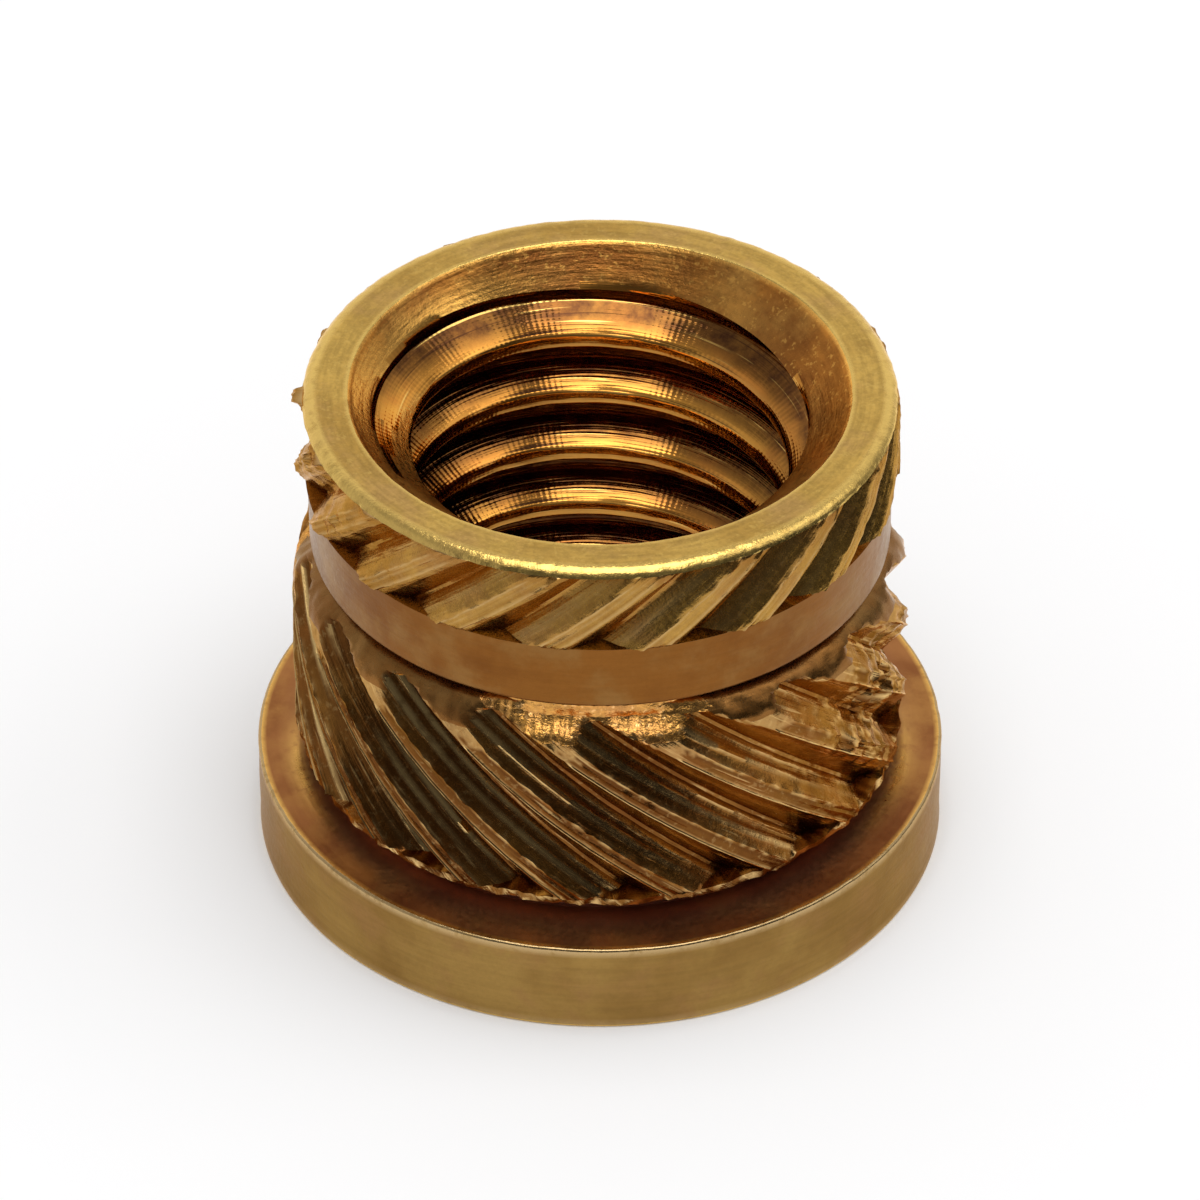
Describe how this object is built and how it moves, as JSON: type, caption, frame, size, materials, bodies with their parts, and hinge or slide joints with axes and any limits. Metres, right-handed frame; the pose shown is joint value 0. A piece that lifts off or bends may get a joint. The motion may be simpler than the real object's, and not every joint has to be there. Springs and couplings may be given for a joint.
{
  "type": "threaded insert",
  "caption": "Knurled brass threaded insert with a flange, a barrel and an upper band with opposed helical teeth, a plain collar and a tapped through bore.",
  "frame": {"origin": "centre of the flange's outer face, which the insert stands on", "axes": "+Z along the bore axis from the flange to the rim"},
  "size_m": [0.0078, 0.0078, 0.006],
  "materials": {
    "brass": "satin, tarnished"
  },
  "bodies": {
    "root": {"insert_body": "brass"}
  },
  "joints": []
}
